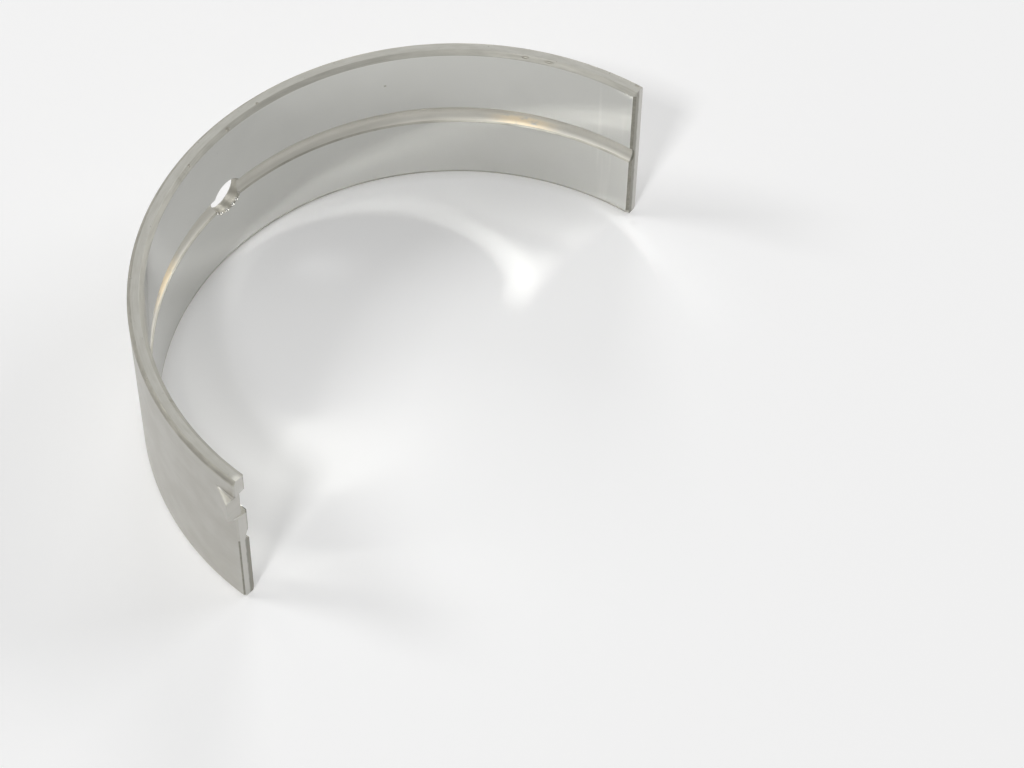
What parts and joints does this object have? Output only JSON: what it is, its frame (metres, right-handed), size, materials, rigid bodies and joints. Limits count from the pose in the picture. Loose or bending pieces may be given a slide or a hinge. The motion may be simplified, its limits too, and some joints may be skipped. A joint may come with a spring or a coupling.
{
  "type": "engine bearing shell",
  "caption": "Half shell of a plain engine bearing, with an oil groove and oil hole in its bore, chamfered rims and a pressed locating tang beside a parting face.",
  "frame": {"origin": "on the bearing axis at mid width", "axes": "+Z along the bearing axis, up as the shell stands on its rim; +Y from the axis to the crown with the oil hole; +X from the end with the tang to the plain end"},
  "size_m": [0.1249, 0.0597, 0.0362],
  "materials": {
    "shell_metal": "satin, with a smoother lining in the bore"
  },
  "bodies": {
    "root": {"bearing_shell": "shell_metal"}
  },
  "joints": []
}
